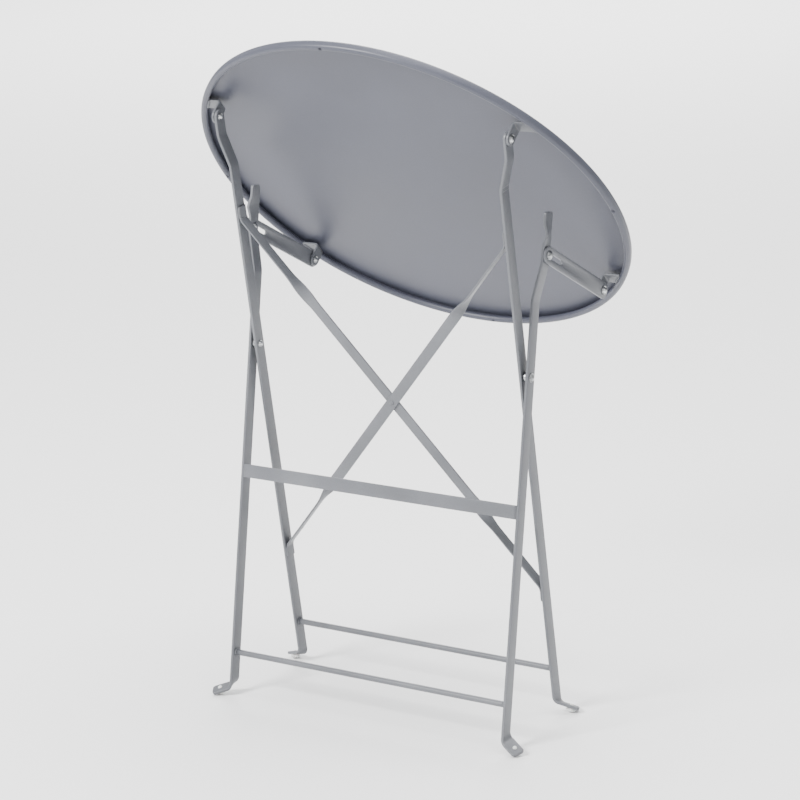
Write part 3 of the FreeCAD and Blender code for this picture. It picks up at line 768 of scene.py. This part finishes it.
def make_brackets():
    """Hinge brackets and link brackets, mirrored left and right."""
    for name, side in SIDES:
        make_bracket(name + "_hinge_bracket", side, HINGE_EAR, -BRACKET_REACH)
        make_bracket(name + "_link_bracket", side, LINK_EAR, BRACKET_REACH)


LINK_WIDTH = 22 * MM
LINK_GAUGE = 3 * MM
LINK_EDGE = 0.8 * MM
SLOT_LENGTH = 34 * MM
SLOT_HALF = 3.2 * MM
SLOT_EDGE = 0.24 * MM


def make_link(node, side, body):
    """A slotted link: a round-ended plate with a round-ended slot through it.

    The outline and the slot are two closed curves with matching points; rings run from the
    slot's wall over the face, round the rim with a small radius, and back along the other face.
    """
    length = reach_between(TAIL, BRACKET)
    count = 96
    t = np.linspace(0, 2 * math.pi, count, endpoint=False)

    def stadium(start, stop, half):
        centre = np.where(np.cos(t) > 0, stop, start)
        return np.stack([centre + half * np.cos(t), half * np.sin(t)], 1)

    def slot(grow):
        return stadium(length - SLOT_LENGTH, length, SLOT_HALF + grow)

    def rim(turn):
        return stadium(0, length, LINK_WIDTH / 2 - LINK_EDGE * (1 - math.cos(turn)))

    face = LINK_GAUGE / 2
    turns = np.linspace(0, math.pi / 2, 4)
    rings = [(slot(0), face - SLOT_EDGE), (slot(SLOT_EDGE), face)]
    rings += [(rim(a), face - LINK_EDGE * (1 - math.sin(a))) for a in turns[::-1]]
    rings += [(rim(a), LINK_EDGE * (1 - math.sin(a)) - face) for a in turns]
    rings += [(slot(SLOT_EDGE), -face), (slot(0), SLOT_EDGE - face)]
    points = np.concatenate([np.column_stack([np.full(count, x), flat]) for flat, x in rings])
    faces = grid_faces(len(rings), count, wrap_rows=True).tolist()
    way = (TAIL - BRACKET) / length
    way[0] = 0.0
    cross = np.array([0.0, -way[2], way[1]])
    placed = (points[:, :1] * [side, 0, 0] + points[:, 1:2] * way + points[:, 2:3] * cross
              + [middle(node)[0], BRACKET[1], BRACKET[2]])
    link = make_piece(node, placed, outward(placed - placed.mean(0), faces), LEG_COAT, body)
    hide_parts(node)


def turned_surface(profile, axis="x"):
    """A surface turned about an axis: profile is (along, radius) from one end to the other."""
    count = 48
    t = np.linspace(0, 2 * math.pi, count, endpoint=False)
    profile = np.array(profile)
    along, radius = profile[:, :1], profile[:, 1:]
    first = np.repeat(along, count, 1)
    second = radius * np.cos(t)
    third = radius * np.sin(t)
    order = (first, second, third) if axis == "x" else (second, third, first)
    points = np.stack(order, 2).reshape(-1, 3)
    return points, outward(points, tube_faces(len(along), count))


def zinc_pin(node, place, profile, body):
    """Turn one zinc-plated bolt, rivet or ring about X, through a place in the side view."""
    points, faces = turned_surface(profile)
    pin = make_piece(node, points + [0, place[1], place[2]], faces, ZINC, body)
    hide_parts(node)


def dome(start, height, radius, outward_side):
    """Profile of a domed head: an ellipse quarter from its rim at start to its crown."""
    # it stops just short of the axis, so that its last ring keeps some size
    t = np.linspace(0, math.pi / 2 * 0.98, 8)
    return [(start + outward_side * height * math.sin(a), radius * math.cos(a)) for a in t]


def grooved_head(face, radius, dome_share, way):
    """Profile of a bolt's end from its face outwards: a thin collar, a groove and a dome.

    dome_share is the dome's radius as a share of the end's radius.
    """
    groove = face + way * 0.3 * MM
    collar = face + way * COLLAR
    return ([(face, radius), (collar, radius), (collar, radius * 0.88), (groove, radius * 0.84)]
            + dome(groove, HEAD_HEIGHT - 0.3 * MM, radius * dome_share, way))


def bolt_profile(start, stop, side):
    """A bolt along X, from its inner end's face at start to its head's face at stop."""
    inner = grooved_head(start, INNER_HEAD, 0.72, -side)[::-1]
    return inner + [(start, SHANK), (stop, SHANK)] + grooved_head(stop, HEAD, 0.76, side)


def make_bolts():
    """Bolts and rivets at the four pairs of joints, each as one turned piece.

    Each outer tail has a rivet, and the pin that runs in the link's slot carries its head.
    """
    dome_height = HEAD_HEIGHT - COLLAR
    for name, side in SIDES:
        rows = (("hinge_bolt", "inner_frame", HINGE), ("pivot_bolt", "inner_frame", PIVOT),
                ("bracket_bolt", "tabletop", BRACKET))
        for kind, body, place in rows:
            node = "%s_%s" % (name, kind)
            near, far = span_x(node, side)
            profile = bolt_profile(near + side * HEAD_HEIGHT, far - side * HEAD_HEIGHT, side)
            zinc_pin(node, place, profile, body)
        node = name + "_tail_rivet"
        near, far = span_x(node, side)
        start = near + side * HEAD_HEIGHT
        collar = start - side * COLLAR
        profile = dome(collar, dome_height, 4.1 * MM, -side)[::-1]
        profile += [(collar, INNER_HEAD), (start, INNER_HEAD), (start, SHANK), (far, SHANK), (far, AXIS)]
        zinc_pin(node, TAIL, profile, "outer_frame")
        node = name + "_slot_pin"
        near, far = span_x(node, side)
        stop = far - side * HEAD_HEIGHT
        collar = stop + side * COLLAR
        profile = [(near, AXIS), (near, SHANK), (stop, SHANK), (stop, HEAD), (collar, HEAD)]
        profile += dome(collar, dome_height, 5.6 * MM, side)
        zinc_pin(node, TAIL, profile, name + "_link")


def make_spacers():
    """Spacer rings on the pivot bolts: short tubes with softened edges."""
    soft = 0.6 * MM
    outer = 6.5 * MM
    for name, side in SIDES:
        node = name + "_pivot_spacer"
        near, far = sorted(span_x(node, side))
        profile = [(near, SHANK), (near, outer - soft), (near + soft, outer),
                   (far - soft, outer), (far, outer - soft), (far, SHANK)]
        zinc_pin(node, PIVOT, profile, "inner_frame")


def make_glides():
    """Plastic glides under the foot tabs: a low dome below, and the stem's round end on top."""
    radius = 6 * MM
    profile = [(-5 * MM, 0.2 * MM), (-5 * MM, radius * 0.6), (-4.6 * MM, radius * 0.8),
               (-3.6 * MM, radius * 0.95), (-2.4 * MM, radius), (-0.4 * MM, radius),
               (0.0, radius - 0.4 * MM), (0.0, SHANK), (4 * MM, SHANK),
               (5.0 * MM, 2.6 * MM), (5.6 * MM, 1.6 * MM), (5.8 * MM, 0.2 * MM)]
    upright_glide, faces = turned_surface(profile, axis="z")
    rows = (("inner", INNER_LEAN, -FOOT_ANGLE, INNER_HALF, INNER_FOOT),
            ("outer", OUTER_LEAN, FOOT_ANGLE, OUTER_HALF, OUTER_FOOT))
    reach = FOOT_REACH - BAR_WIDTH / 2
    for frame_name, lean, tilt, half, foot in rows:
        for name, side in SIDES:
            node = "%s_%s_glide" % (name, frame_name)
            on_tab = [side * (FOOT_BEND + reach * math.cos(tilt)), -reach * math.sin(tilt), 0]
            c, s = math.cos(FOOT_DROOP), side * math.sin(FOOT_DROOP)
            droop = np.array([[c, 0, s], [0, 1, 0], [-s, 0, c]])
            points = turned((upright_glide + on_tab) @ droop.T, tilt) + [side * half, 0, -foot]
            points = turned(points, lean) + [0, PIVOT[1], PIVOT[2]]
            glide = make_piece(node, points, faces, GLIDE, frame_name + "_frame")
            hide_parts(node)


# ---------------------------------------------------------------------------
# Welds
# ---------------------------------------------------------------------------


def weld_ring(name, centre, radius, bead, axis_side, body, seed):
    """A fillet weld round a rod: a torus whose bead swells and shrinks in overlapping ripples.

    The bead radius is its mean times one plus a ripple of a fixed pitch and a slow drift.
    """
    rng = np.random.default_rng(seed)
    around, section = 72, 12
    t = np.linspace(0, 2 * math.pi, around, endpoint=False)
    p = np.linspace(0, 2 * math.pi, section, endpoint=False)
    phase = rng.uniform(0, 2 * math.pi, 3)
    size = bead * (1 + 0.10 * np.sin(14 * t + phase[0]) + 0.12 * np.sin(2 * t + phase[1])
                   + 0.07 * np.sin(5 * t + phase[2]))
    ring = radius + size[:, None] * 0.35 + size[:, None] * np.cos(p)
    x = size[:, None] * np.sin(p) * axis_side
    points = np.stack([x, ring * np.cos(t)[:, None], ring * np.sin(t)[:, None]], 2).reshape(-1, 3)
    faces = outward(points, grid_faces(around, section, wrap_rows=True).tolist())
    return make_piece(name, points + centre, faces, LEG_COAT, body)


def weld_line(name, start, stop, bead, body, seed):
    """A straight fillet weld: a tube along a line, tapered at both ends, with ripples along it."""
    rng = np.random.default_rng(seed)
    length = np.linalg.norm(stop - start)
    way = (stop - start) / length
    side = np.cross(way, [0.3, 0.5, 0.81])
    side /= np.linalg.norm(side)
    up = np.cross(way, side)
    rows, section = 40, 12
    s = np.linspace(0, 1, rows)
    p = np.linspace(0, 2 * math.pi, section, endpoint=False)
    phase = rng.uniform(0, 2 * math.pi, 2)
    end = np.sqrt(np.clip(1 - (2 * s - 1) ** 6, 0.02, 1))
    size = bead * end * (1 + 0.12 * np.sin(s * length / (1.6 * MM) * 2 * math.pi + phase[0])
                         + 0.1 * np.sin(3 * s + phase[1]))
    ring = np.cos(p)[None, :, None] * side + np.sin(p)[None, :, None] * up
    points = start + (stop - start) * s[:, None, None] + ring * size[:, None, None]
    points = points.reshape(-1, 3)
    faces = outward(points - points.mean(0), tube_faces(rows, section))
    return make_piece(name, points, faces, LEG_COAT, body)


def in_leg(lean, x, across, along):
    """A point of a leg's own frame in the table's frame."""
    return turned(np.array([[x, across, along]]), lean)[0] + [0, PIVOT[1], PIVOT[2]]


def make_welds():
    """Welds at both rods, the crossbar, the braces' tabs and the brackets' flanges.

    The middle of each bead lies close to the faces that it joins, so that it runs into both.
    Each weld has its own seed, so no two ripple alike.
    """
    rod_radius = 4 * MM
    bead = 1.5 * MM
    seed = 0
    for node, body, half in (("inner_rod", "inner_frame", INNER_HALF),
                             ("outer_rod", "outer_frame", OUTER_HALF)):
        centre = middle(node)
        for name, side in SIDES:
            seed += 1
            weld_ring("%s_%s_weld" % (name, node), [side * (half - 0.6 * MM), centre[1], centre[2]],
                      rod_radius, bead, side, body, seed)
    for name, side in SIDES:
        seed += 1
        x = side * (OUTER_HALF - 0.4 * MM)
        front = -BAR_WIDTH / 2 + CROSSBAR_GAUGE
        start, stop = (in_leg(OUTER_LEAN, x, front, -CROSSBAR_DROP + half * CROSSBAR_WIDTH)
                       for half in (-0.5, 0.5))
        weld_line(name + "_crossbar_weld", start, stop, bead, "outer_frame", seed)
        for end, along, way in (("top", BRACE_TOP, 1), ("bottom", BRACE_BOTTOM, -1)):
            seed += 1
            # along the front edge of the tab, short of both its ends
            x = side * (INNER_HALF - 1.0 * MM)
            start, stop = (in_leg(INNER_LEAN, x, -7.2 * MM, along + way * reach)
                           for reach in (3 * MM, 17 * MM))
            weld_line("%s_brace_%s_weld" % (name, end), start, stop, 1.3 * MM, "inner_frame", seed)
        for kind, way in (("hinge", -1), ("link", 1)):
            seed += 1
            z = -FLANGE_DROP - BRACKET_GAUGE
            start, stop = place_top(np.array([
                [side * FLANGE_FULL, way * (BRACKET_REACH + EAR_WIDTH / 2), z],
                [side * FLANGE_END, way * (BRACKET_REACH - EAR_WIDTH / 2), z]]))
            weld_line("%s_%s_bracket_weld" % (name, kind), start, stop, 1.6 * MM, "tabletop", seed)


def make_rivet():
    """The small painted rivet where the braces cross: a low domed head on each side."""
    radius, height = 3.5 * MM, 1.3 * MM
    profile = dome(-BRACE_GAUGE, height, radius, -1)[::-1]
    profile += [(-BRACE_GAUGE, 2 * MM), (BRACE_GAUGE, 2 * MM)]
    profile += dome(BRACE_GAUGE, height, radius, 1)
    points, faces = turned_surface(profile, axis="z")
    points = turned(points, INNER_LEAN - math.pi / 2) + middle("brace_rivet")
    rivet = make_piece("brace_rivet", points, faces, LEG_COAT, "inner_frame")
    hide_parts("brace_rivet")


# ---------------------------------------------------------------------------
# Stage
# ---------------------------------------------------------------------------

CAMERA_PLACE = (1.923, -3.0756, 1.3511)
CAMERA_AZIMUTH = 32.4
CAMERA_ELEVATION = 14.6
CAMERA_ROLL = -1.37
LENS = 126.8


def make_camera():
    """The camera at the object's viewing angle, looking down at it from its front right."""
    a, e, r = (math.radians(v) for v in (CAMERA_AZIMUTH, CAMERA_ELEVATION, CAMERA_ROLL))
    back = Vector((math.sin(a) * math.cos(e), -math.cos(a) * math.cos(e), math.sin(e)))
    right = Vector((math.cos(a), math.sin(a), 0.0))
    up = back.cross(right)
    across = right * math.cos(r) + up * math.sin(r)
    above = up * math.cos(r) - right * math.sin(r)
    data = bpy.data.cameras.new("camera")
    data.lens = LENS
    data.sensor_width = 36
    data.clip_end = 30
    camera = bpy.data.objects.new("camera", data)
    turn = Matrix((across, above, back)).transposed().to_4x4()
    camera.matrix_world = Matrix.Translation(CAMERA_PLACE) @ turn
    bpy.context.scene.collection.objects.link(camera)
    bpy.context.scene.camera = camera


def make_light(name, place, aim, size, power):
    """A square soft box at a place, aimed at a point."""
    data = bpy.data.lights.new(name, "AREA")
    data.shape = "SQUARE"
    data.size = size
    data.energy = power
    light = bpy.data.objects.new(name, data)
    light.location = place
    light.rotation_mode = "QUATERNION"
    light.rotation_quaternion = (Vector(aim) - Vector(place)).to_track_quat("-Z", "Y")
    bpy.context.scene.collection.objects.link(light)


def make_stage():
    """A pale floor, a pale sky, three soft boxes and a fourth that lights the floor behind."""
    mesh = bpy.data.meshes.new("floor")
    half = 30.0
    corners = [(-half, -half, 0), (half, -half, 0), (half, half, 0), (-half, half, 0)]
    mesh.from_pydata(corners, [], [(0, 1, 2, 3)])
    mesh.materials.append(matt_floor())
    floor = bpy.data.objects.new("floor", mesh)
    bpy.context.scene.collection.objects.link(floor)
    world = bpy.data.worlds.new("studio")
    world.use_nodes = True
    sky = world.node_tree.nodes["Background"]
    sky.inputs["Color"].default_value = colour("#ffffff")
    sky.inputs["Strength"].default_value = 0.82
    bpy.context.scene.world = world
    aim = (0, 0, 0.5)
    make_light("key", (-1.2, -3.4, 3.2), aim, 1.4, 380)
    make_light("fill", (3.2, -1.2, 2.0), aim, 1.8, 25)
    make_light("top", (0.2, 0.6, 3.6), aim, 2.5, 150)
    make_light("floor_behind", (-4.0, 7.0, 5.0), (-3.6, 6.2, 0), 5.0, 1100)


make_camera()
make_stage()
make_legs()
make_rod("inner_rod", "inner_frame")
make_rod("outer_rod", "outer_frame")
make_crossbar()
make_brace("front_brace", 1.0, -BRACE_GAUGE / 2 - 0.05 * MM)
make_brace("rear_brace", -1.0, BRACE_GAUGE / 2 + 0.05 * MM)
make_rivet()
make_top()
make_brackets()
make_link("left_slotted_link", -1.0, "left_link")
make_link("right_slotted_link", 1.0, "right_link")
make_bolts()
make_spacers()
make_glides()
make_welds()
